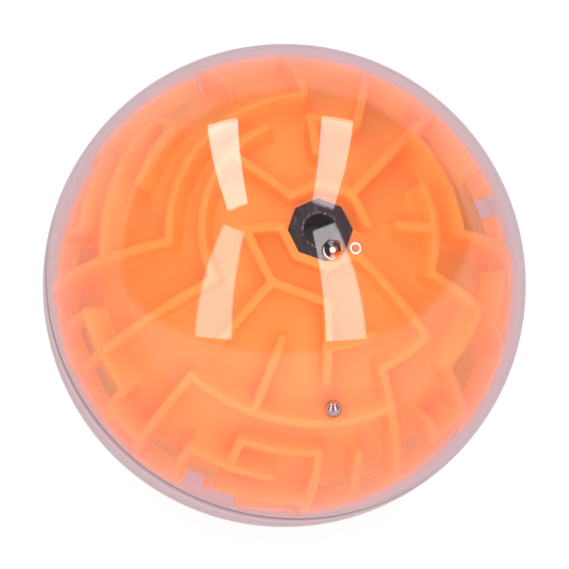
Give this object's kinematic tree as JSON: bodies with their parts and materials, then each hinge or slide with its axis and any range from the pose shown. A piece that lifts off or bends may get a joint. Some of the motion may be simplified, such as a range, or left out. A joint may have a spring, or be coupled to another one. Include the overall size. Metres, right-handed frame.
{
  "type": "ball maze globe",
  "caption": "Clear plastic sphere closed around a hollow orange maze dome, with steel balls that roll in its walled corridors and a black cup at each pole.",
  "frame": {"origin": "centre of the clear sphere, on the seam plane", "axes": "+Z out through the upper (start) cup, +X and +Y in the seam plane, with -Y at the corridor that the maze ball lies in"},
  "size_m": [0.12, 0.12, 0.12],
  "materials": {
    "clear_plastic": "clear glossy polystyrene",
    "orange_plastic": "moulded, slightly translucent, satin",
    "black_plastic": "glossy black, scuffed",
    "steel": "polished bearing ball"
  },
  "bodies": {
    "globe": {"clear_shell_upper": "clear_plastic", "clear_shell_lower": "clear_plastic", "maze_dome_upper": "orange_plastic", "maze_dome_lower": "orange_plastic", "start_cup": "black_plastic", "finish_cup": "black_plastic"},
    "maze_ball": {"maze_ball": "steel"},
    "cup_ball": {"cup_ball": "steel"}
  },
  "joints": [
    {"name": "maze_ball_roll", "type": "hinge", "parent": "globe", "child": "maze_ball", "pos_m": [0, 0, 0], "axis": [0, 0, 1], "range_deg": [-20, 14]},
    {"name": "cup_ball_circle", "type": "hinge", "parent": "globe", "child": "cup_ball", "pos_m": [0, 0, 0], "axis": [0, 0, 1], "continuous": true}
  ]
}
